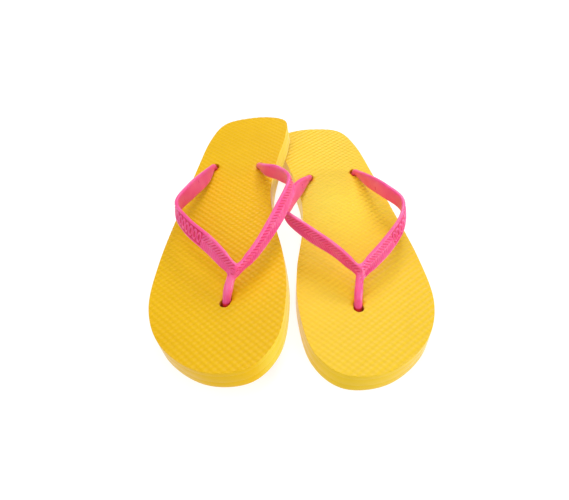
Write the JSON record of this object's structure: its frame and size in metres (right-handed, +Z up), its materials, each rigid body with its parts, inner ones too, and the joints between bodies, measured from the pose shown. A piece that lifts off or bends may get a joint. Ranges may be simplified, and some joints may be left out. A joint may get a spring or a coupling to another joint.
{
  "type": "flip flop",
  "caption": "Pair of foam flip flops with moulded Y straps, one leaning on the other's heel; worn on the feet, each held by its toe post and two arms.",
  "frame": {"origin": "On the floor, under the middle of the pair's bounding box.", "axes": "+Z up, +Y from the toes to the heels, +X to the wearer's left, so the toes point to -Y and the left flip flop is on the +X side."},
  "size_m": [0.1914, 0.267, 0.0603],
  "materials": {
    "outsole_rubber": "matt moulded rubber",
    "midsole_foam": "matt cut foam",
    "footbed_foam": "matt embossed foam",
    "strap_rubber": "satin moulded rubber"
  },
  "bodies": {
    "left_flip_flop": {"left_outsole": "outsole_rubber", "left_midsole": "midsole_foam", "left_footbed": "footbed_foam", "left_strap": "strap_rubber"},
    "right_flip_flop": {"right_outsole": "outsole_rubber", "right_midsole": "midsole_foam", "right_footbed": "footbed_foam", "right_strap": "strap_rubber"}
  },
  "joints": [
    {"name": "right_flip_flop_lift", "type": "slide", "parent": "left_flip_flop", "child": "right_flip_flop", "axis": [0, 0, 1], "range_m": [0, 0.12]}
  ]
}
